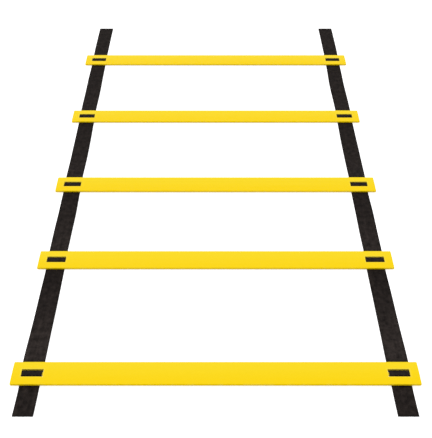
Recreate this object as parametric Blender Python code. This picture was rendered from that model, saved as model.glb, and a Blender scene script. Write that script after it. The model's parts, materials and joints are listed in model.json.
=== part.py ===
"""Agility ladder: five flat plastic rungs woven onto two webbing straps, laid out on the ground.

Metres, +Z up. X runs along the rungs, Y from the near end of the ladder to its far end. The origin is the
centre of the footprint, on the ground.
"""

import math

import bmesh
import bpy
from mathutils import Vector

# Rung: a flat moulded slat
RUNG_LENGTH = 0.500
RUNG_WIDTH = 0.040
RUNG_THICKNESS = 0.003
RUNG_CORNER_RADIUS = 0.0015
RUNG_EDGE_ROUND = 0.0004

# Strap passage near each end of a rung: two slots with a sunk bridge between them
SLOT_LENGTH = 0.0265
SLOT_WIDTH = 0.0035
SLOT_CORNER_RADIUS = 0.0006
SLOT_END_MARGIN = 0.01175
BRIDGE_WIDTH = 0.006
BRIDGE_THICKNESS = 0.0015

# Webbing strap
WEBBING_WIDTH = 0.025
WEBBING_THICKNESS = 0.0012
WEBBING_EDGE_CHAMFER = 0.0003
WEAVE_BEND_RADIUS = 0.001
WEAVE_SLOPE = math.radians(60)
WEAVE_OVERHANG = 0.001

# Free strap before the first rung, the spacings from rung to rung, and the free strap past the last rung
NEAR_TAIL_LENGTH = 0.0713
FIRST_BAY_LENGTH = 0.2328
SECOND_BAY_LENGTH = 0.1981
THIRD_BAY_LENGTH = 0.2216
FOURTH_BAY_LENGTH = 0.2248
FAR_TAIL_LENGTH = 0.1507

# How far along its bay each fold line lies; the first fold's loop has to clear the larger loop round it
FOLD_SHARES = (0.513, 0.5, 0.5, 0.5)

# Fits
CLEARANCE = 0.0003
STACK_GAP = 0.001
CUT_OVERRUN = 0.001

# Facets
CORNER_STEPS = 5
SLOT_CORNER_STEPS = 3
EDGE_ROUND_STEPS = 2
BEND_STEPS = 4

# Sizes worked out from those above
BAY_LENGTHS = (FIRST_BAY_LENGTH, SECOND_BAY_LENGTH, THIRD_BAY_LENGTH, FOURTH_BAY_LENGTH)
LADDER_LENGTH = NEAR_TAIL_LENGTH + sum(BAY_LENGTHS) + FAR_TAIL_LENGTH
RUNG_COUNT = len(BAY_LENGTHS) + 1
STRAP_SPACING = RUNG_LENGTH - 2 * SLOT_END_MARGIN - SLOT_LENGTH
RUNG_UNDERSIDE = WEBBING_THICKNESS + CLEARANCE
RUNG_TOP = RUNG_UNDERSIDE + RUNG_THICKNESS
BRIDGE_TOP = RUNG_UNDERSIDE + BRIDGE_THICKNESS
STRAP_MIDDLE = WEBBING_THICKNESS / 2
RAISED_STRAP_MIDDLE = BRIDGE_TOP + CLEARANCE + STRAP_MIDDLE
SLOT_CENTRE = BRIDGE_WIDTH / 2 + SLOT_WIDTH / 2
WEAVE_HALF_LENGTH = RUNG_WIDTH / 2 + WEAVE_OVERHANG
SIDES = {"left": -STRAP_SPACING / 2, "right": STRAP_SPACING / 2}


def clear_scene():
    """Leaves the scene without objects."""
    for item in list(bpy.data.objects):
        bpy.data.objects.remove(item, do_unlink=True)


def plain_material(name, colour, roughness):
    """A Principled material of one colour for a non-metal."""
    material = bpy.data.materials.new(name)
    material.use_nodes = True
    shader = material.node_tree.nodes["Principled BSDF"]
    shader.inputs["Base Color"].default_value = (*colour, 1)
    shader.inputs["Roughness"].default_value = roughness
    shader.inputs["Metallic"].default_value = 0
    return material


def rung_plastic():
    """Bright yellow moulded plastic with a slight gloss."""
    return plain_material("yellow_rung_plastic", (0.97, 0.68, 0.012), 0.38)


def strap_webbing():
    """Charcoal black woven polyester."""
    return plain_material("black_webbing", (0.020, 0.018, 0.017), 0.85)


def add_object(name, mesh, parent=None, place=(0, 0, 0)):
    """An object with its origin at a place in the world, under its parent."""
    made = bpy.data.objects.new(name, mesh)
    bpy.context.scene.collection.objects.link(made)
    made.parent = parent
    made.location = Vector(place) - world_place(parent)
    return made


def world_place(item):
    """Where an unturned object's origin lies in the world."""
    place = Vector((0, 0, 0))
    while item is not None:
        place += item.location
        item = item.parent
    return place


def rounded_rectangle(length, width, radius, steps):
    """Points round a rectangle about the origin whose corners are arcs."""
    points = []
    for quarter, (side_x, side_y) in enumerate(((1, 1), (-1, 1), (-1, -1), (1, -1))):
        centre_x = side_x * (length / 2 - radius)
        centre_y = side_y * (width / 2 - radius)
        for step in range(steps + 1):
            angle = math.radians(90) * (quarter + step / steps)
            points.append((centre_x + radius * math.cos(angle), centre_y + radius * math.sin(angle)))
    return points


def upright_prism(name, outline, low, high, centre=(0, 0)):
    """A closed mesh: an outline in the XY plane, extruded from one height to another."""
    mesh = bpy.data.meshes.new(name)
    form = bmesh.new()
    base = form.faces.new([form.verts.new((centre[0] + x, centre[1] + y, low)) for x, y in outline])
    extruded = bmesh.ops.extrude_face_region(form, geom=[base])["geom"]
    raised = [item for item in extruded if isinstance(item, bmesh.types.BMVert)]
    bmesh.ops.translate(form, verts=raised, vec=(0, 0, high - low))
    bmesh.ops.recalc_face_normals(form, faces=form.faces)
    form.to_mesh(mesh)
    form.free()
    return mesh


def add_cutter(name, mesh):
    """A hidden object that only shapes another one."""
    cutter = add_object(name, mesh)
    cutter.hide_render = True
    cutter.display_type = "WIRE"
    return cutter


def passage_cutters(side, centre_x):
    """The cutters of one strap passage: two slots right through, and the space over the sunk bridge."""
    slot = rounded_rectangle(SLOT_LENGTH, SLOT_WIDTH, SLOT_CORNER_RADIUS, SLOT_CORNER_STEPS)
    sink = rounded_rectangle(SLOT_LENGTH, BRIDGE_WIDTH + SLOT_WIDTH, SLOT_CORNER_RADIUS, SLOT_CORNER_STEPS)
    low = -RUNG_THICKNESS / 2 - CUT_OVERRUN
    high = RUNG_THICKNESS / 2 + CUT_OVERRUN
    sunk = -RUNG_THICKNESS / 2 + BRIDGE_THICKNESS
    cutters = []
    for edge, centre_y in (("front", -SLOT_CENTRE), ("rear", SLOT_CENTRE)):
        mesh = upright_prism(f"{side}_{edge}_slot", slot, low, high, (centre_x, centre_y))
        cutters.append(add_cutter(f"{side}_{edge}_slot_cutter", mesh))
    mesh = upright_prism(f"{side}_sink", sink, sunk, high, (centre_x, 0))
    cutters.append(add_cutter(f"{side}_sink_cutter", mesh))
    return cutters


def rung_mesh(material):
    """The slat with its two strap passages and rounded edges, about its own centre."""
    outline = rounded_rectangle(RUNG_LENGTH, RUNG_WIDTH, RUNG_CORNER_RADIUS, CORNER_STEPS)
    slab = upright_prism("rung_slab", outline, -RUNG_THICKNESS / 2, RUNG_THICKNESS / 2)
    blank = add_object("rung_blank", slab)
    cutters = []
    for side, centre_x in SIDES.items():
        cutters += passage_cutters(side, centre_x)
    for cutter in cutters:
        cut = blank.modifiers.new(cutter.name, "BOOLEAN")
        cut.operation = "DIFFERENCE"
        cut.solver = "EXACT"
        cut.object = cutter
    edge_round = blank.modifiers.new("edge_round", "BEVEL")
    edge_round.width = RUNG_EDGE_ROUND
    edge_round.segments = EDGE_ROUND_STEPS
    edge_round.limit_method = "ANGLE"
    edge_round.angle_limit = math.radians(50)
    bpy.context.view_layer.update()
    shaped = blank.evaluated_get(bpy.context.evaluated_depsgraph_get())
    mesh = bpy.data.meshes.new_from_object(shaped)
    mesh.name = "rung"
    mesh.materials.clear()
    mesh.materials.append(material)
    mesh.shade_smooth()
    mesh.set_sharp_from_angle(angle=math.radians(35))
    for item in [blank, *cutters]:
        bpy.data.objects.remove(item, do_unlink=True)
    return mesh


def webbing_section():
    """The webbing's cross-section, across and up, with small chamfers along its edges."""
    half_width = WEBBING_WIDTH / 2
    half_thickness = WEBBING_THICKNESS / 2
    inner_width = half_width - WEBBING_EDGE_CHAMFER
    inner_thickness = half_thickness - WEBBING_EDGE_CHAMFER
    return [
        (half_width, -inner_thickness),
        (half_width, inner_thickness),
        (inner_width, half_thickness),
        (-inner_width, half_thickness),
        (-half_width, inner_thickness),
        (-half_width, -inner_thickness),
        (-inner_width, -half_thickness),
        (inner_width, -half_thickness),
    ]


def webbing_mesh(name, path, material):
    """Webbing carried along a path: stations of y, z and slope, in the plane across the rungs."""
    mesh = bpy.data.meshes.new(name)
    form = bmesh.new()
    rings = []
    for y, z, slope in path:
        lean = math.sin(slope)
        rise = math.cos(slope)
        rings.append([form.verts.new((x, y - up * lean, z + up * rise)) for x, up in webbing_section()])
    count = len(rings[0])
    for ring, following in zip(rings, rings[1:]):
        for index in range(count):
            after = (index + 1) % count
            form.faces.new((ring[index], ring[after], following[after], following[index]))
    form.faces.new(rings[0])
    form.faces.new(rings[-1])
    bmesh.ops.recalc_face_normals(form, faces=form.faces)
    form.to_mesh(mesh)
    form.free()
    mesh.materials.append(material)
    mesh.shade_smooth()
    mesh.set_sharp_from_angle(angle=math.radians(35))
    return mesh


def bend(centre_y, centre_z, start, end):
    """Stations round a bend, from one slope to another; a falling slope turns the other way."""
    turn = 1 if end > start else -1
    stations = []
    for step in range(BEND_STEPS + 1):
        slope = start + (end - start) * step / BEND_STEPS
        y = centre_y + turn * WEAVE_BEND_RADIUS * math.sin(slope)
        z = centre_z - turn * WEAVE_BEND_RADIUS * math.cos(slope)
        stations.append((y, z, slope))
    return stations


def weave_path():
    """The strap's way through a rung: flat, up one slot, over the bridge, down the other, flat."""
    rise = RAISED_STRAP_MIDDLE - STRAP_MIDDLE
    half_run = rise / 2 / math.tan(WEAVE_SLOPE)
    tangent = WEAVE_BEND_RADIUS * math.tan(WEAVE_SLOPE / 2)
    lower = SLOT_CENTRE + half_run + tangent
    upper = SLOT_CENTRE - half_run - tangent
    low_centre = STRAP_MIDDLE + WEAVE_BEND_RADIUS
    high_centre = RAISED_STRAP_MIDDLE - WEAVE_BEND_RADIUS
    path = [(-WEAVE_HALF_LENGTH, STRAP_MIDDLE, 0)]
    path += bend(-lower, low_centre, 0, WEAVE_SLOPE)
    path += bend(-upper, high_centre, WEAVE_SLOPE, 0)
    path += bend(upper, high_centre, 0, -WEAVE_SLOPE)
    path += bend(lower, low_centre, -WEAVE_SLOPE, 0)
    path.append((WEAVE_HALF_LENGTH, STRAP_MIDDLE, 0))
    return path


def flat_path(start, end):
    """Two stations of webbing that lies flat on the ground."""
    return [(start, STRAP_MIDDLE, 0), (end, STRAP_MIDDLE, 0)]


def rung_places():
    """The rungs' centres along the ladder, nearest first."""
    places = [NEAR_TAIL_LENGTH - LADDER_LENGTH / 2]
    for bay in BAY_LENGTHS:
        places.append(places[-1] + bay)
    return places


def fold_places(rungs):
    """The fold lines, one in each bay."""
    return [near + bay * share for near, bay, share in zip(rungs, BAY_LENGTHS, FOLD_SHARES)]


def fold_height(layers):
    """A fold axis lies at half the height of the stack that it closes: so many layers over one more."""
    return ((layers + 1) * RUNG_TOP + layers * STACK_GAP) / 2


def add_carriers(folds):
    """What carries each rung's strap stretch: the far end stays, and each fold axis hangs on the one past it."""
    carriers = [add_object("far_end", None)]
    for number in range(len(folds), 0, -1):
        place = (0, folds[number - 1], fold_height(number))
        carriers.insert(0, add_object(f"fold_{number}_axis", None, carriers[0], place))
    return carriers


def stretch_limits(number, rungs, folds):
    """Where the strap stretch that carries a rung starts and ends."""
    start = -LADDER_LENGTH / 2 if number == 0 else folds[number - 1] + CLEARANCE / 2
    end = LADDER_LENGTH / 2 if number == len(rungs) - 1 else folds[number] - CLEARANCE / 2
    return start, end


def add_stretch(number, rungs, folds, carrier, meshes, webbing):
    """One rung with its woven strap parts, and the flat strap before and after it on both sides."""
    label = number + 1
    rung_y = rungs[number]
    start, end = stretch_limits(number, rungs, folds)
    slide = add_object(f"rung_{label}_slide_axis", None, carrier, (0, rung_y, STRAP_MIDDLE))
    add_object(f"rung_{label}", meshes["rung"], slide, (0, rung_y, RUNG_UNDERSIDE + RUNG_THICKNESS / 2))
    reach = WEAVE_HALF_LENGTH + CLEARANCE
    front = webbing_mesh(f"strap_front_{label}", flat_path(start - rung_y, -reach), webbing)
    rear = webbing_mesh(f"strap_rear_{label}", flat_path(reach, end - rung_y), webbing)
    for side, centre_x in SIDES.items():
        place = (centre_x, rung_y, 0)
        add_object(f"{side}_strap_weave_{label}", meshes["weave"], slide, place)
        add_object(f"{side}_strap_front_{label}", front, carrier, place)
        add_object(f"{side}_strap_rear_{label}", rear, carrier, place)


def build():
    clear_scene()
    webbing = strap_webbing()
    meshes = {"rung": rung_mesh(rung_plastic()), "weave": webbing_mesh("strap_weave", weave_path(), webbing)}
    rungs = rung_places()
    folds = fold_places(rungs)
    carriers = add_carriers(folds)
    for number in range(RUNG_COUNT):
        add_stretch(number, rungs, folds, carriers[number], meshes, webbing)


build()
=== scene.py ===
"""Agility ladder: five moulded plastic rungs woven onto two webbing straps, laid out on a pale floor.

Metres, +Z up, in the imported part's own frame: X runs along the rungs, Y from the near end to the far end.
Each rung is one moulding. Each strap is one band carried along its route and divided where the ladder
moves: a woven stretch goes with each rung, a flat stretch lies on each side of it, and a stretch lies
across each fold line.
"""

import json
import math

import bpy
import numpy as np
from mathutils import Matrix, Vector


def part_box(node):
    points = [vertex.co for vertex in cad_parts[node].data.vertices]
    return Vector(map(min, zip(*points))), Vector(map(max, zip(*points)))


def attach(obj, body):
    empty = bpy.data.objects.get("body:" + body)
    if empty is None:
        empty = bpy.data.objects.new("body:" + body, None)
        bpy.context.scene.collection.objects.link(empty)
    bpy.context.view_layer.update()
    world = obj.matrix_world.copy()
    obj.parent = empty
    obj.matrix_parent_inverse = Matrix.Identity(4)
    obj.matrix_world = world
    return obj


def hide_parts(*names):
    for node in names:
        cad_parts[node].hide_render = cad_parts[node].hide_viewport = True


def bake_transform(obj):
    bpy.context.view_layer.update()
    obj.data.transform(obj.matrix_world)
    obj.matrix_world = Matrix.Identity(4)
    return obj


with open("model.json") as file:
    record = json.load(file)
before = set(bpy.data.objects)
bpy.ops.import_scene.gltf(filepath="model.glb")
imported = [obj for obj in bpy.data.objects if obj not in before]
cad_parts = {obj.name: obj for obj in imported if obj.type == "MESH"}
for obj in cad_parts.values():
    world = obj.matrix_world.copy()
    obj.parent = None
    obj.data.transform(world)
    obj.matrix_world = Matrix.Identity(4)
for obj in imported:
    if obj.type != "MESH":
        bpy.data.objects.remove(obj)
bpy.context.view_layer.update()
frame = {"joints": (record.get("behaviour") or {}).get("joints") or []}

MM = 0.001

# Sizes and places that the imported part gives
RUNG_NUMBERS = (1, 2, 3, 4, 5)
RUNG_BOXES = {number: np.array(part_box(f"rung_{number}")) for number in RUNG_NUMBERS}
RUNG_LENGTH, RUNG_WIDTH, RUNG_THICKNESS = RUNG_BOXES[1][1] - RUNG_BOXES[1][0]
RUNG_UNDERSIDE, RUNG_TOP = RUNG_BOXES[1][:, 2]
RUNG_Y = {number: box[:, 1].mean() for number, box in RUNG_BOXES.items()}
WEAVE_BOX = np.array(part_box("right_strap_weave_1"))
WEAVE_HALF_LENGTH = (WEAVE_BOX[1, 1] - WEAVE_BOX[0, 1]) / 2
STRAP_X = WEAVE_BOX[:, 0].mean()
STRAP_WIDTH = WEAVE_BOX[1, 0] - WEAVE_BOX[0, 0]
STRAP_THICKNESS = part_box("right_strap_front_1")[1][2]
LADDER_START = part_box("right_strap_front_1")[0][1]
LADDER_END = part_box("right_strap_rear_5")[1][1]
FOLD_AXES = {joint["name"]: joint["pos_m"] for joint in frame["joints"] if joint["type"] == "hinge"}

# Rung details
SLOT_LENGTH = 26.5 * MM
SLOT_WIDTH = 3.5 * MM
BRIDGE_WIDTH = 6 * MM
BRIDGE_THICKNESS = 1.5 * MM
RUNG_CROWN = 0.3 * MM
RUNG_DRAFT = 0.05 * MM
PLAN_CORNER_RADIUS = 1.5 * MM
PLAN_CORNER_STEPS = 6
RUNG_EDGE_ROUND = 0.55 * MM
RUNG_EDGE_STEPS = 4
RUNG_EDGE_ANGLE = math.radians(40)
WINDOW_HALF_WIDTH = BRIDGE_WIDTH / 2 + SLOT_WIDTH

# Strap details
SIDES = {"left": -1, "right": 1}
STRAP_MIDDLE = STRAP_THICKNESS / 2
RAISED_STRAP_MIDDLE = RUNG_TOP - STRAP_MIDDLE
WEAVE_BEND_RADIUS = 1 * MM
WEAVE_SLOPE = math.radians(60)
STRAP_EDGE_ROUND = 0.55 * MM
SELVEDGE_WIDTH = 1.7 * MM
SELVEDGE_GROOVE = 0.07 * MM
SELVEDGE_GROOVE_WIDTH = 0.5 * MM
SHARP_ABOVE = math.radians(60)

# Cut ends: sealed by melting, with a slight bead, a rounded tip and an edge a little out of square
SEALED_LENGTH = 1.4 * MM
BEAD_SHARE = 0.10
BEAD_PLACE = 0.8 * MM
BEAD_WIDTH = 0.6 * MM
TIP_ROUNDING = 0.5 * MM
THINNEST_TIP_SHARE = 0.04
RAGGED_DEPTH = 0.07 * MM
RAGGED_REACH = 2 * MM
RAGGED_WAVES = ((520, 1), (1330, 2))

# Where the flat stretches lie a little off the ground, or out of line
BAY_LIFT = 0.55 * MM
BAY_LIFT_UNEVENNESS = 0.4
TIP_CURL = 0.7 * MM
BAY_WANDER = 0.25 * MM
BAY_WANDER_SHIFT = 1.7
BAY_ROLL = math.radians(0.8)

# How far the straps lie outwards of their middle lines: in each rung's windows, in the middle of each bay,
# before the near rung, and at the free ends; and how much further out each bay starts and further in it ends
RUNG_DRIFT = np.array([0.35, -0.05, -0.20, -0.15, -0.20]) * MM
BAY_DRIFT = {-1: np.array([0.20, -0.55, -0.95, -0.25]) * MM, 1: np.array([0.55, -0.05, -0.65, -0.90]) * MM}
BAY_SPLAY = 0.40 * MM
NEAR_DRIFT = 0.60 * MM
NEAR_TIP_DRIFT = 0.45 * MM
FAR_TIP_DRIFT = -1.1 * MM

# How pale the straps are: all along and at the free ends; in the rungs' windows, where it is a painted warm
# glow of light bounced off the yellow slot walls; and how much more behind each bay's nearer rung, where it
# is a painted sheen; and how soon that starts at the rungs and fades along the bay
PLAIN_PALENESS = 0.08
NEAR_TIP_PALENESS = 0.26
FAR_TIP_PALENESS = 0.14
WINDOW_PAINTED_GLOW = 0.26
BAY_PAINTED_SHEEN = (0.84, 0.56, 0.38, 0.28)
TIP_PALENESS_RISE = 6
BAY_SHEEN_RISE = 25
BAY_SHEEN_FADE = 1.6

# The webbing spreads a little where no rung's slot holds it, least of all before the near rung, and it flares
# outwards just behind that rung
STRAP_SPREAD = 0.075
SLOT_SPREAD = 0.040
NEAR_SPREAD = 0.008
TIP_SPREAD_RISE = 4
FLARE = 1.6 * MM
FLARE_LENGTH = 48 * MM

# Spacing of the points that carry a strap's shape
FLAT_STEP = 1.6 * MM
FOLD_STEP = 0.3 * MM
WEAVE_STEP = 0.2 * MM
TIP_STEP = 0.12 * MM
TIP_LENGTH = 2.4 * MM
SLOPE_NUDGE = 0.05 * MM
SECTION_POINTS = 64

# Webbing weave
WARP_PITCH = 1.15 * MM
FLOAT_LENGTH = 2.3 * MM
EDGE_PITCH = 0.95 * MM

# Camera: the picture's frame, the lens, and where the camera stands
PICTURE_HEIGHT_PIXELS = 438
FOCAL_LENGTH_PIXELS = 1029
SENSOR_WIDTH_MM = 36
CAMERA_X = 0.5 * MM
CAMERA_HEIGHT = 0.874
CAMERA_DISTANCE = 0.934
CAMERA_PITCH = math.radians(34.46)

# Light
AMBIENT_STRENGTH = 0.65
LAMP_STRENGTH = 1.32
LAMP_SPREAD = math.radians(70)
LAMP_LEAN = (math.radians(-24), math.radians(-16), 0)
FLOOR_LIFT = 0.68
FLOOR_HALF_SIZE = 12
FLOOR_DROP = 0.1 * MM

WHITE = (1, 1, 1, 1)


class Signal:
    """What one output socket gives. Arithmetic on signals and numbers adds Math nodes."""

    def __init__(self, nodes, socket):
        self.nodes = nodes
        self.socket = socket

    def __add__(self, other):
        return self.nodes.math("ADD", self, other)

    def __radd__(self, other):
        return self.nodes.math("ADD", other, self)

    def __sub__(self, other):
        return self.nodes.math("SUBTRACT", self, other)

    def __rsub__(self, other):
        return self.nodes.math("SUBTRACT", other, self)

    def __mul__(self, other):
        return self.nodes.math("MULTIPLY", self, other)

    def __rmul__(self, other):
        return self.nodes.math("MULTIPLY", other, self)

    def __truediv__(self, other):
        return self.nodes.math("DIVIDE", self, other)

    def __pow__(self, other):
        return self.nodes.math("POWER", self, other)

    def __mod__(self, other):
        return self.nodes.math("FLOORED_MODULO", self, other)

    def __abs__(self):
        return self.nodes.math("ABSOLUTE", self)


class Nodes:
    """A node tree under construction."""

    def __init__(self, tree):
        self.tree = tree

    def node(self, kind, settings, sockets, output=0):
        """Adds a node of a type, sets it, then gives its input sockets their values or links."""
        made = self.tree.nodes.new(kind)
        for name, value in settings.items():
            setattr(made, name, value)
        for key, value in sockets.items():
            self.feed(made.inputs[key], value)
        return Signal(self, made.outputs[output])

    def feed(self, socket, value):
        """Gives a socket a link where the value is a signal, and a plain value otherwise."""
        if isinstance(value, Signal):
            self.tree.links.new(value.socket, socket)
        else:
            socket.default_value = value

    def math(self, operation, *values):
        """One Math node, with its values in order."""
        return self.node("ShaderNodeMath", {"operation": operation}, dict(enumerate(values)))

    def ease(self, value, low, high):
        """Nought below the low value, one above the high one, and a smooth step between."""
        sockets = {"Value": value, "From Min": low, "From Max": high}
        return self.node("ShaderNodeMapRange", {"interpolation_type": "SMOOTHSTEP"}, sockets)

    def swell(self, value):
        """A row of half sine humps, one for each whole step of the value."""
        return self.math("SINE", self.math("FRACT", value) * math.pi)

    def noise(self, place, waves, detail, roughness=0.5):
        """Noise with so many waves a metre along each axis of the place."""
        stretched = self.node("ShaderNodeVectorMath", {"operation": "MULTIPLY"}, {0: place, 1: waves})
        sockets = {"Vector": stretched, "Scale": 1, "Detail": detail, "Roughness": roughness}
        return self.node("ShaderNodeTexNoise", {}, sockets)

    def mixed(self, share, first, second):
        """The first colour where the share is nought, the second where it is one. Inputs 6 and 7 and output
        2 are the ones for colours."""
        return self.node("ShaderNodeMix", {"data_type": "RGBA"}, {0: share, 6: first, 7: second}, 2)

    def dimmed(self, colour, amount):
        """A colour times a number."""
        return self.node("ShaderNodeVectorMath", {"operation": "SCALE"}, {0: colour, "Scale": amount})

    def seen_directly(self):
        """One for what the camera sees, also in a mirror or through glass, and nought for other light."""
        kinds = ("Camera", "Glossy", "Transmission")
        camera, glossy, clear = [self.node("ShaderNodeLightPath", {}, {}, f"Is {kind} Ray") for kind in kinds]
        return self.math("MINIMUM", camera + glossy + clear, 1)


class Finish(Nodes):
    """A material and its Principled shader."""

    def __init__(self, name):
        self.material = bpy.data.materials.new(name)
        self.material.use_nodes = True
        super().__init__(self.material.node_tree)
        self.shader = self.tree.nodes["Principled BSDF"]

    def place(self):
        return self.node("ShaderNodeTexCoord", {}, {}, "Object")

    def surface_place(self):
        """The two distances of the piece's own map, in metres: along and across a rung, or across and along
        a strap."""
        flat = self.node("ShaderNodeUVMap", {"uv_map": "surface"}, {})
        return self.part(flat, "X"), self.part(flat, "Y")

    def part(self, place, axis):
        return self.node("ShaderNodeSeparateXYZ", {}, {0: place}, axis)

    def relief(self, height_mm):
        """Bump from a height in millimetres."""
        return self.node("ShaderNodeBump", {}, {"Distance": MM, "Height": height_mm})

    def set(self, **sockets):
        for name, value in sockets.items():
            self.feed(self.shader.inputs[name.replace("_", " ").title().replace("Ior", "IOR")], value)
        return self.material


def rung_plastic():
    """Bright yellow moulded plastic, satin. It has soft flow streaks, a fine mould grain, rubbed rims,
    hairline scuffs, and on the underside the shallow marks of the ejector pins."""
    finish = Finish("yellow_rung_plastic")
    place = finish.place()
    along, across = finish.surface_place()

    front_colour = (0.960, 0.668, 0.0004, 1)
    rear_sheen_colour = (0.950, 0.700, 0.0120, 1)
    worn_and_highlight_colour = (0.955, 0.765, 0.1000, 1)
    rim_wear, window_pale_reach = 1.3 * MM, 2.2 * MM
    colour_stray = 14 * MM
    hair_width = 0.006
    pin_pitch, pin_radius, pin_edge = 65 * MM, 2.3 * MM, 0.3 * MM
    grain_mm, waves_mm, streaks_mm, scuffs_mm, pins_mm = 0.010, 0.10, 0.03, 0.006, 0.12

    streaks = finish.noise(place, (7.5, 150, 75), 3)
    clouds = finish.noise(place, (14, 14, 14), 2)
    patches = finish.ease(finish.noise(place, (130, 130, 130), 4, 0.6), 0.45, 0.75)
    hairs = finish.noise(place, (15, 270, 15), 1)
    grain = finish.noise(place, (2600, 2600, 2600), 2)
    waves = finish.noise(place, (38, 38, 38), 1)

    # The rear half of each rung is painted paler and more lemon than the front: a painted sheen. The flow
    # streaks blur where it changes.
    rear_painted_sheen = finish.ease(across + (streaks - 0.5) * colour_stray, -RUNG_WIDTH / 2, RUNG_WIDTH / 2)
    colour = finish.mixed(rear_painted_sheen, front_colour, rear_sheen_colour)

    rim = finish.math("MAXIMUM", abs(along) - RUNG_LENGTH / 2, abs(across) - RUNG_WIDTH / 2)
    # On the rung this share is the rims' wear only, worn paler in patches.
    wear_and_painted_light = finish.ease(rim, -rim_wear, 0) * patches
    colour = finish.mixed(wear_and_painted_light * 0.45, colour, worn_and_highlight_colour)

    # Round each window the plastic is paler and smoother: partly polished by the strap, partly a painted
    # highlight on the window's lips.
    beside_window = abs(abs(along) - STRAP_X) - SLOT_LENGTH / 2
    window = finish.math("MAXIMUM", beside_window, abs(across) - WINDOW_HALF_WIDTH)
    window_polish_and_highlight = 1 - finish.ease(window, 0, window_pale_reach)
    colour = finish.mixed(window_polish_and_highlight * (patches * 0.4 + 0.4), colour, worn_and_highlight_colour)

    scuffs = (1 - finish.ease(abs(hairs - 0.5), 0, hair_width)) * finish.ease(clouds, 0.5, 0.62)
    colour = finish.mixed(scuffs * 0.10, colour, worn_and_highlight_colour)

    underside = 1 - finish.ease(finish.part(place, "Z"), RUNG_UNDERSIDE, RUNG_UNDERSIDE + pin_edge)
    from_pin = (along + pin_pitch / 2) % pin_pitch - pin_pitch / 2
    pin_distance = (from_pin * from_pin + across * across) ** 0.5
    pins = (1 - finish.ease(pin_distance, pin_radius, pin_radius + pin_edge)) * underside

    height = grain * grain_mm + waves * waves_mm + streaks * streaks_mm - scuffs * scuffs_mm - pins * pins_mm
    roughness = 0.37 + (clouds - 0.5) * 0.10 + scuffs * 0.12 + wear_and_painted_light * 0.10 - window_polish_and_highlight * 0.06
    finish.set(base_color=colour, roughness=roughness, normal=finish.relief(height))
    return finish.set(specular_ior_level=0.045)


def strap_webbing():
    """Charcoal black woven polyester. Warp yarns lie in columns and dive under the weft by turns, the
    selvedges are bound crosswise, the cut ends are melted smooth, and the tone drifts along the band. Each
    strap reads the noise in a slice of its own, so that the two aren't mottled alike."""
    finish = Finish("black_webbing")
    across, along = finish.surface_place()
    wear_and_painted_light = finish.node("ShaderNodeAttribute", {"attribute_name": "wear_and_painted_light"}, {}, "Fac")

    yarn_colour = (0.0116, 0.0086, 0.0076, 1)
    pale_colour = (0.0350, 0.0278, 0.0252, 1)
    melted_colour = (0.0060, 0.0050, 0.0046, 1)
    edge_blend, melting_stray = 0.25 * MM, 1.2 * MM
    weave_mm, fibres_mm, melted_mm = 0.16, 0.03, 0.08
    middle_column = 100.5
    slice_gap = 3

    column = across / WARP_PITCH + middle_column
    row_shift = finish.math("FLOOR", column) % 2 * 0.5
    float_swell = finish.swell(along / FLOAT_LENGTH + row_shift)
    weave = (finish.swell(column) * 0.75 + 0.25) * (float_swell ** 0.6)
    binding = finish.swell(along / EDGE_PITCH + abs(across) / (3 * EDGE_PITCH)) * 0.8
    inner_edge = STRAP_WIDTH / 2 - SELVEDGE_WIDTH
    selvedge = finish.ease(abs(across), inner_edge, inner_edge + edge_blend)
    surface = weave + (binding - weave) * selvedge

    strap_side = finish.math("SIGN", finish.part(finish.place(), "X"))
    sockets = {"X": across, "Y": along, "Z": strap_side * slice_gap}
    band_place = finish.node("ShaderNodeCombineXYZ", {}, sockets)
    fibres = finish.noise(band_place, (9000, 900, 1), 2)
    streaks = finish.noise(band_place, (420, 14, 1), 3)
    mottle = finish.noise(band_place, (150, 110, 1), 4, 0.65)

    from_end = finish.math("MINIMUM", along, strap_length() - along)
    melted = 1 - finish.ease(from_end + (mottle - 0.5) * melting_stray, 0.5 * SEALED_LENGTH, SEALED_LENGTH)

    # The weave is painted darker where it dips and paler on its crowns: painted shade. Fibres, streaks and
    # mottle are the webbing's own tone.
    tone = (surface * 0.55 + 0.66) * (fibres * 0.40 + 0.80) * (streaks * 0.80 + 0.60) * (mottle * 3.2 - 0.60)
    # The strap is paler where the attribute says so: its own tone all along and at the free ends, a painted
    # warm glow in the rungs' windows, and a painted sheen towards each bay's nearer rung.
    colour = finish.mixed(wear_and_painted_light, yarn_colour, pale_colour)
    colour = finish.mixed(melted * 0.8, finish.dimmed(colour, tone), melted_colour)

    height = (surface * weave_mm + fibres * fibres_mm) * (1 - melted * 0.85) + melted * mottle * melted_mm
    roughness = 0.80 - surface * 0.10 + (mottle - 0.5) * 0.10 - melted * 0.35
    finish.set(base_color=colour, roughness=roughness, normal=finish.relief(height))
    return finish.set(specular_ior_level=0.03)


def floor_white():
    """Pale matt floor. What the camera sees of it is lifted to white, and the shadow on it stays."""
    finish = Finish("pale_floor")
    pale = (0.82, 0.82, 0.82)
    speckle = finish.noise(finish.place(), (40, 40, 40), 2)
    finish.set(base_color=finish.dimmed(pale, speckle * 0.02 + 0.99), roughness=0.9)
    lifted = finish.dimmed(WHITE[:3], finish.seen_directly())
    return finish.set(specular_ior_level=0, emission_color=lifted, emission_strength=FLOOR_LIFT)


def mesh_piece(name, points, faces, surface_map, material):
    """An object from whole arrays: its points, its faces, and each point's place on the surface map."""
    mesh = bpy.data.meshes.new(name)
    mesh.from_pydata(points.tolist(), [], faces)
    corners = np.empty(len(mesh.loops), int)
    mesh.loops.foreach_get("vertex_index", corners)
    layer = mesh.uv_layers.new(name="surface")
    layer.uv.foreach_set("vector", surface_map[corners].ravel().astype(np.float32))
    mesh.materials.append(material)
    mesh.shade_smooth()
    piece = bpy.data.objects.new(name, mesh)
    bpy.context.scene.collection.objects.link(piece)
    return piece


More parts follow.
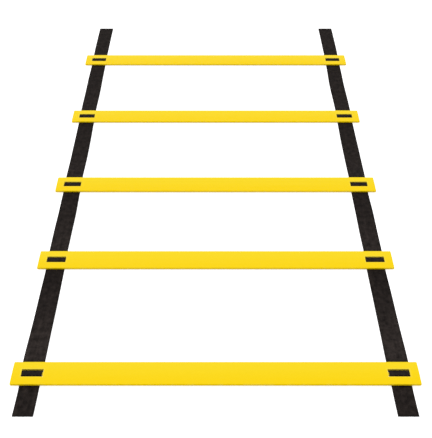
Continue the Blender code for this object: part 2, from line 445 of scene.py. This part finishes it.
def block_faces(filled):
    """The skin of a block of cells, filled or open. A face lies wherever a filled cell meets an open one or
    the outside, and its corners run so that it looks away from the filled cell."""
    counts = np.array(filled.shape) + 1
    padded = np.pad(filled, 1)
    quads = []
    for axis in range(3):
        before = np.take(padded, range(counts[axis]), axis)
        after = np.take(padded, range(1, counts[axis] + 1), axis)
        inner = tuple(slice(None) if other == axis else slice(1, -1) for other in range(3))
        for open_side, turned in ((before & ~after, False), (~before & after, True)):
            cells = np.argwhere(open_side[inner])
            first, second = np.eye(3, dtype=int)[[(axis + 1) % 3, (axis + 2) % 3]]
            corners = np.stack([cells, cells + first, cells + first + second, cells + second], axis=1)
            quads.append(corners[:, ::-1] if turned else corners)
    quads = np.concatenate(quads)
    return (quads[..., 0] * counts[1] + quads[..., 1]) * counts[2] + quads[..., 2]


def rung_lines():
    """Where the rung's cells end, along it, across it and up: at its rims, windows, slots and bridges,
    with spare lines between them for its crown."""
    inner_end, outer_end = STRAP_X - SLOT_LENGTH / 2, STRAP_X + SLOT_LENGTH / 2
    over_window = np.linspace(inner_end, outer_end, 4)
    past_window = np.linspace(outer_end, RUNG_LENGTH / 2, 3)
    between_windows = np.linspace(-inner_end, inner_end, 24)
    right = np.concatenate([over_window, past_window[1:]])
    along = np.concatenate([-right[::-1], between_windows[1:-1], right])
    bar = np.linspace(WINDOW_HALF_WIDTH, RUNG_WIDTH / 2, 5)
    rear = np.concatenate([[0, BRIDGE_WIDTH / 2], bar])
    across = np.concatenate([-rear[:0:-1], rear])
    up = RUNG_UNDERSIDE + np.array([0, BRIDGE_THICKNESS, RUNG_THICKNESS])
    return along, across, up


def rung_piece(number, material):
    """A rung: a slat of cells, open at its slots and over its sunk bridges. The top has a slight crown that
    falls with the square of the distance from the middle line, and the sides lean in above and below
    the parting line. Rounded plan corners and edges finish it."""
    along, across, up = rung_lines()
    middles = [(line[1:] + line[:-1]) / 2 for line in (along, across, up)]
    cell_x, cell_y, cell_z = np.meshgrid(*middles, indexing="ij")
    in_window = abs(abs(cell_x) - STRAP_X) < SLOT_LENGTH / 2
    in_slot = in_window & (abs(abs(cell_y) - (BRIDGE_WIDTH + SLOT_WIDTH) / 2) < SLOT_WIDTH / 2)
    over_bridge = in_window & (abs(cell_y) < BRIDGE_WIDTH / 2) & (cell_z > up[1])
    quads = block_faces(~(in_slot | over_bridge))
    used, compact = np.unique(quads, return_inverse=True)

    x, y, z = [part.ravel()[used] for part in np.meshgrid(along, across, up, indexing="ij")]
    leans = np.where(np.isclose(z, up[1]), 0, RUNG_DRAFT)
    at_end = np.isclose(abs(x), RUNG_LENGTH / 2)
    at_side = np.isclose(abs(y), RUNG_WIDTH / 2)
    crown = RUNG_CROWN * (y / (RUNG_WIDTH / 2)) ** 2 * np.isclose(z, up[2])
    points = np.stack([x - np.sign(x) * leans * at_end, y - np.sign(y) * leans * at_side, z - crown], axis=1)
    surface_map = points[:, :2].copy()
    points[:, 1] += RUNG_Y[number]

    faces = compact.reshape(quads.shape).tolist()
    piece = mesh_piece(f"moulded_rung_{number}", points, faces, surface_map, material)
    corners = piece.vertex_groups.new(name="plan_corners")
    corners.add(np.flatnonzero(at_end & at_side).tolist(), 1, "REPLACE")
    plan_round = piece.modifiers.new("plan_round", "BEVEL")
    plan_round.limit_method = "VGROUP"
    plan_round.vertex_group = corners.name
    plan_round.width = PLAN_CORNER_RADIUS
    plan_round.segments = PLAN_CORNER_STEPS
    edge_round = piece.modifiers.new("edge_round", "BEVEL")
    edge_round.limit_method = "ANGLE"
    edge_round.angle_limit = RUNG_EDGE_ANGLE
    edge_round.width = RUNG_EDGE_ROUND
    edge_round.segments = RUNG_EDGE_STEPS
    edge_round.harden_normals = True
    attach(piece, f"rung_{number}_carriage")
    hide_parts(f"rung_{number}")


def free_spans():
    """The stretches of strap that no rung covers, as pairs of ends along the ladder."""
    starts = [LADDER_START] + [RUNG_Y[number] + WEAVE_HALF_LENGTH for number in RUNG_NUMBERS]
    ends = [RUNG_Y[number] - WEAVE_HALF_LENGTH for number in RUNG_NUMBERS] + [LADDER_END]
    return list(zip(starts, ends))


def span_shares(y):
    """For each free span, how far along it each place lies, from nought to one."""
    return [np.clip((y - start) / (end - start), 0, 1) for start, end in free_spans()]


def past_window(y, number, way):
    """Nought up to a rung's window on one side, one from that side's rim on, and a smooth step under the
    bar between them."""
    share = ((y - RUNG_Y[number]) * way - WINDOW_HALF_WIDTH) / (RUNG_WIDTH / 2 - WINDOW_HALF_WIDTH)
    share = np.clip(share, 0, 1)
    return share ** 2 * (3 - 2 * share)


def strap_lift(y, side):
    """How far the strap's middle lies off the ground. In a bay it is a squared sine hump, a little uneven;
    a free end curls up with the cube of the distance from the rung."""
    shares = span_shares(y)
    lift = TIP_CURL * (1 - shares[0]) ** 3 + TIP_CURL * shares[-1] ** 3
    for number, share in enumerate(shares[1:-1], start=1):
        uneven = 1 + BAY_LIFT_UNEVENNESS * np.sin(2 * math.pi * share + side * number)
        lift = lift + BAY_LIFT * uneven * np.sin(math.pi * share) ** 2
    return lift


def strap_wander(y, side):
    """How far the strap strays sideways, to the right. Its drift outwards runs smoothly from window to
    window, in each bay with a squared sine hump and a straight slope on it, and in a free end with the square
    of the distance from the rung. One wave in each bay, which dies out at both rungs, comes on top."""
    shares = span_shares(y)
    drift = RUNG_DRIFT[0] + NEAR_TIP_DRIFT * (1 - shares[0]) ** 2 + FAR_TIP_DRIFT * shares[-1] ** 2
    drift = drift + NEAR_DRIFT * past_window(y, 1, -1) + strap_flare(y) / 2
    wave = np.zeros_like(y)
    for number, share in enumerate(shares[1:-1], start=1):
        hump = np.sin(math.pi * share) ** 2
        drift = drift + (RUNG_DRIFT[number] - RUNG_DRIFT[number - 1]) * share ** 2 * (3 - 2 * share)
        drift = drift + BAY_DRIFT[side][number - 1] * hump
        in_bay = past_window(y, number, 1) * past_window(y, number + 1, -1)
        drift = drift + BAY_SPLAY * (1 - 2 * share) * in_bay
        wave = wave + BAY_WANDER * np.sin(2 * math.pi * share + side * BAY_WANDER_SHIFT * number) * hump
    return side * drift + wave


def strap_flare(y):
    """How far the outer edge bulges out behind the near rung: it rises smoothly under the rung, then fades
    with the bell curve of the distance."""
    behind = np.maximum(y - RUNG_Y[1] - RUNG_WIDTH / 2, 0)
    return FLARE * past_window(y, 1, 1) * np.exp(-((behind / FLARE_LENGTH) ** 2))


def strap_breadth(y):
    """How wide the strap is, as a share of its plain width: widest between the rungs and narrower in their
    slots, with a smooth step across the near rung, before which it is narrowest, and the flare behind it."""
    free = sum(np.sin(math.pi * share) ** 0.5 for share in span_shares(y)[1:-1])
    free = free + np.clip(span_shares(y)[-1] * TIP_SPREAD_RISE, 0, 1)
    spread = SLOT_SPREAD + (STRAP_SPREAD - SLOT_SPREAD) * free
    spread = NEAR_SPREAD + (spread - NEAR_SPREAD) * past_window(y, 1, 1)
    return 1 + spread + strap_flare(y) / STRAP_WIDTH


def strap_roll(y, side):
    """How far the strap leans to one side, in radians: in each bay a wave that dies out at both rungs."""
    roll = np.zeros_like(y)
    for number, share in enumerate(span_shares(y)[1:-1], start=1):
        roll = roll + BAY_ROLL * np.sin(2 * math.pi * share + number + side) * np.sin(math.pi * share) ** 2
    return roll


def strap_tone_and_painted_light(y):
    """How pale the strap is. In each bay it grows towards the nearer rung, less in the farther bays: a
    painted sheen. It is even in the free ends, and a bell curve over each window: a painted warm glow of
    light bounced off the slot walls."""
    shares = span_shares(y)
    near_tip = np.clip((1 - shares[0]) * TIP_PALENESS_RISE, 0, 1)
    far_tip = np.clip(shares[-1] * TIP_PALENESS_RISE, 0, 1)
    rubbing = PLAIN_PALENESS + (NEAR_TIP_PALENESS - PLAIN_PALENESS) * near_tip
    rubbing = rubbing + (FAR_TIP_PALENESS - PLAIN_PALENESS) * far_tip
    for place in RUNG_Y.values():
        in_window = np.exp(-(((y - place) / WINDOW_HALF_WIDTH) ** 2))
        rubbing = rubbing + (WINDOW_PAINTED_GLOW - PLAIN_PALENESS) * in_window
    for share, strength in zip(shares[1:-1], BAY_PAINTED_SHEEN):
        between_rungs = 1 - np.exp(-share * (1 - share) * BAY_SHEEN_RISE)
        rubbing = rubbing + strength * (1 - share) ** BAY_SHEEN_FADE * between_rungs
    return rubbing


def flat_route(start, end, step, side):
    """The route over the ground between two places: y, z, slope and the distance along the strap. Its points
    crowd together at a cut end."""
    y = np.linspace(start, end, max(3, round((end - start) / step) + 1))
    tip = np.arange(0, TIP_LENGTH, TIP_STEP)
    near_tip, far_tip = LADDER_START + tip, LADDER_END - tip
    y = np.union1d(y, near_tip if start == LADDER_START else far_tip if end == LADDER_END else [])
    rise = strap_lift(y + SLOPE_NUDGE, side) - strap_lift(y - SLOPE_NUDGE, side)
    slope = np.arctan(rise / (2 * SLOPE_NUDGE))
    rungs_before = sum(start > place for place in RUNG_Y.values())
    return y, STRAP_MIDDLE + strap_lift(y, side), slope, y - LADDER_START + rungs_before * weave_excess()


def weave_knots():
    """The route through a rung as stations of distance and slope: flat under the front bar, a turn up into
    the slot, a turn back to level over the bridge, and the same way down."""
    rise = RAISED_STRAP_MIDDLE - STRAP_MIDDLE
    turn = WEAVE_BEND_RADIUS * WEAVE_SLOPE
    turn_rise = WEAVE_BEND_RADIUS * (1 - math.cos(WEAVE_SLOPE))
    climb = (rise - 2 * turn_rise) / math.sin(WEAVE_SLOPE)
    climb_run = climb * math.cos(WEAVE_SLOPE) + 2 * WEAVE_BEND_RADIUS * math.sin(WEAVE_SLOPE)
    slot_centre = (BRIDGE_WIDTH + SLOT_WIDTH) / 2
    approach = WEAVE_HALF_LENGTH - slot_centre - climb_run / 2
    crossing = 2 * slot_centre - climb_run
    lengths = [0, approach, turn, climb, turn, crossing, turn, climb, turn, approach]
    slopes = [0, 0, WEAVE_SLOPE, WEAVE_SLOPE, 0, 0, -WEAVE_SLOPE, -WEAVE_SLOPE, 0, 0]
    return np.cumsum(lengths), np.array(slopes)


def weave_excess():
    """How much longer the strap's way through a rung is than the straight way."""
    return weave_knots()[0][-1] - 2 * WEAVE_HALF_LENGTH


def weave_route(number):
    """The route through a rung. Its slope runs straight from station to station, so that each turn is an
    arc, and y and z are the running sums of the slope's cosine and sine."""
    knots, slopes = weave_knots()
    distance = np.linspace(0, knots[-1], round(knots[-1] / WEAVE_STEP) + 1)
    distance = np.union1d(distance, knots)
    slope = np.interp(distance, knots, slopes)
    steps = np.diff(distance)
    y = np.concatenate([[0], np.cumsum(steps * (np.cos(slope[1:]) + np.cos(slope[:-1])) / 2)])
    z = np.concatenate([[0], np.cumsum(steps * (np.sin(slope[1:]) + np.sin(slope[:-1])) / 2)])
    start = RUNG_Y[number] - WEAVE_HALF_LENGTH
    y *= 2 * WEAVE_HALF_LENGTH / y[-1]
    along = start - LADDER_START + (number - 1) * weave_excess() + distance
    return start + y, STRAP_MIDDLE + z, slope, along


def strap_length():
    return LADDER_END - LADDER_START + len(RUNG_NUMBERS) * weave_excess()


def strap_section():
    """The webbing's cross-section, as across and up. Across is a cosine of the angle, which crowds the points
    at the edges; up is the half thickness, rounded off at the edges and thinner in the groove
    inside each selvedge."""
    angle = np.arange(SECTION_POINTS) * 2 * math.pi / SECTION_POINTS
    across = STRAP_WIDTH / 2 * np.cos(angle)
    from_edge = STRAP_WIDTH / 2 - abs(across)
    beyond = np.clip(1 - from_edge / STRAP_EDGE_ROUND, 0, 1)
    groove = SELVEDGE_GROOVE * np.exp(-(((from_edge - SELVEDGE_WIDTH) / SELVEDGE_GROOVE_WIDTH) ** 2))
    half = (STRAP_THICKNESS / 2 - groove) * np.sqrt(1 - beyond ** 2)
    return across, np.sign(np.round(np.sin(angle), 9)) * half


def end_shape(along):
    """What a cut end does to the band: its thickness there, swollen and then rounded off, and how far its
    edge is out of square, as shares that die out within a few millimetres."""
    from_end = np.minimum(along, strap_length() - along)
    swelling = BEAD_SHARE * np.exp(-(((from_end - BEAD_PLACE) / BEAD_WIDTH) ** 2))
    rounding = np.sqrt(1 - (1 - np.clip(from_end / TIP_ROUNDING, THINNEST_TIP_SHARE, 1)) ** 2)
    return (1 + swelling) * rounding, np.exp(-((from_end / RAGGED_REACH) ** 2))


def ragged_edge(across, side):
    """How far a cut edge lies inside the strap's length at each place across it: two sine waves, each
    with its radians to the metre and its shift, which is turned round from one strap to the other."""
    edge = RAGGED_DEPTH * sum(np.sin(across * rate + shift * side) for rate, shift in RAGGED_WAVES)
    return edge - edge.min()


def strap_piece(name, route, side, material):
    """A stretch of webbing: the section carried along a route, square to it, with closed ends."""
    y, z, slope, along = [values[:, None] for values in route]
    across, up = strap_section()
    thickness, ragged = end_shape(along)
    up = up * thickness + across * strap_roll(y, side)
    inwards = np.sign(strap_length() / 2 - along) * ragged * ragged_edge(across, side)
    x = side * STRAP_X + strap_wander(y, side) + across * strap_breadth(y)
    points = np.stack([x, y - up * np.sin(slope) + inwards, z + up * np.cos(slope)], axis=2)
    rings, count = up.shape
    surface_map = np.stack(np.broadcast_arrays(across, along + np.zeros(count)), axis=2)

    index = np.arange(rings * count).reshape(rings, count)
    after = np.roll(index, -1, axis=1)
    quads = np.stack([index[:-1], index[1:], after[1:], after[:-1]], axis=2).reshape(-1, 4)
    upper, lower = np.arange(count // 2), -np.arange(count // 2)
    cap = np.stack([upper, upper + 1, lower - 1, lower], axis=1)
    caps = index[0, cap].tolist() + index[-1, cap[:, ::-1]].tolist()
    faces = quads.tolist() + [list(dict.fromkeys(corners)) for corners in caps]

    piece = mesh_piece(name, points.reshape(-1, 3), faces, surface_map.reshape(-1, 2), material)
    # Each point's paleness, with the painted window glow and the painted bay sheen in it.
    wear_and_painted_light = piece.data.attributes.new("wear_and_painted_light", "FLOAT", "POINT")
    wear_and_painted_light.data.foreach_set("value", np.repeat(strap_tone_and_painted_light(y), count).astype(np.float32))
    piece.data.set_sharp_from_angle(angle=SHARP_ABOVE)
    return piece


def fold_rim(number, way):
    """Where the turn of a fold starts, before or after its line. It is as far from the line as half the
    height of the fold's axis above the middle of the strap."""
    _, line, height = FOLD_AXES[f"fold_{number}"]
    return line + way * (height - STRAP_MIDDLE) / 2


def flat_stretch(side_name, number, part, ends, material):
    """A flat stretch between two places."""
    side = SIDES[side_name]
    route = flat_route(*ends, FLAT_STEP, side)
    piece = strap_piece(f"{side_name}_webbing_{part}_{number}", route, side, material)
    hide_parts(f"{side_name}_strap_{part}_{number}")
    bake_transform(piece)


def woven_stretch(side_name, number, material):
    """The stretch that winds through a rung and goes with it."""
    side = SIDES[side_name]
    piece = strap_piece(f"{side_name}_webbing_weave_{number}", weave_route(number), side, material)
    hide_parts(f"{side_name}_strap_weave_{number}")
    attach(piece, f"rung_{number}_carriage")


def fold_stretch(side_name, number, material):
    """The stretch across a fold line, which runs from one side's straps to the other's."""
    side = SIDES[side_name]
    start, end = fold_rim(number, -1), fold_rim(number, 1)
    route = flat_route(start, end, FOLD_STEP, side)
    piece = strap_piece(f"{side_name}_webbing_fold_{number}", route, side, material)
    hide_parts(f"{side_name}_strap_rear_{number}", f"{side_name}_strap_front_{number + 1}")
    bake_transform(piece)


def strap(side_name, material):
    """A whole strap: at each rung a flat stretch, the woven one and a flat one, and a fold in each bay."""
    for number in RUNG_NUMBERS:
        start = LADDER_START if number == RUNG_NUMBERS[0] else fold_rim(number - 1, 1)
        end = LADDER_END if number == RUNG_NUMBERS[-1] else fold_rim(number, -1)
        before, after = RUNG_Y[number] - WEAVE_HALF_LENGTH, RUNG_Y[number] + WEAVE_HALF_LENGTH
        flat_stretch(side_name, number, "front", (start, before), material)
        woven_stretch(side_name, number, material)
        flat_stretch(side_name, number, "rear", (after, end), material)
    for number in RUNG_NUMBERS[:-1]:
        fold_stretch(side_name, number, material)


def floor():
    corners = np.array([(-1, -1), (1, -1), (1, 1), (-1, 1)]) * FLOOR_HALF_SIZE
    points = np.column_stack([corners, np.full(4, -FLOOR_DROP)])
    mesh_piece("floor", points, [[0, 1, 2, 3]], corners, floor_white())


def lights():
    """Even light from all round and one broad soft lamp overhead."""
    world = bpy.data.worlds.new("studio")
    world.use_nodes = True
    bpy.context.scene.world = world
    nodes = Nodes(world.node_tree)
    ambient = nodes.node("ShaderNodeBackground", {}, {"Color": WHITE, "Strength": AMBIENT_STRENGTH})
    white = nodes.node("ShaderNodeBackground", {}, {"Color": WHITE, "Strength": 1})
    sky = nodes.node("ShaderNodeMixShader", {}, {0: nodes.seen_directly(), 1: ambient, 2: white})
    nodes.feed(world.node_tree.nodes["World Output"].inputs["Surface"], sky)
    lamp = bpy.data.lights.new("soft_lamp", "SUN")
    lamp.energy = LAMP_STRENGTH
    lamp.angle = LAMP_SPREAD
    holder = bpy.data.objects.new("soft_lamp", lamp)
    holder.rotation_euler = LAMP_LEAN
    bpy.context.scene.collection.objects.link(holder)


def camera():
    """The camera stands in front of the near rung and looks down along the ladder."""
    lens = bpy.data.cameras.new("camera")
    lens.sensor_width = SENSOR_WIDTH_MM
    lens.lens = FOCAL_LENGTH_PIXELS * SENSOR_WIDTH_MM / PICTURE_HEIGHT_PIXELS
    holder = bpy.data.objects.new("camera", lens)
    holder.location = (CAMERA_X, RUNG_Y[1] - CAMERA_DISTANCE, CAMERA_HEIGHT)
    holder.rotation_euler = (math.pi / 2 - CAMERA_PITCH, 0, 0)
    bpy.context.scene.collection.objects.link(holder)
    bpy.context.scene.camera = holder


def ladder():
    plastic = rung_plastic()
    webbing = strap_webbing()
    for number in RUNG_NUMBERS:
        rung_piece(number, plastic)
    for side_name in SIDES:
        strap(side_name, webbing)


bpy.context.scene.view_settings.view_transform = "Standard"
ladder()
floor()
lights()
camera()
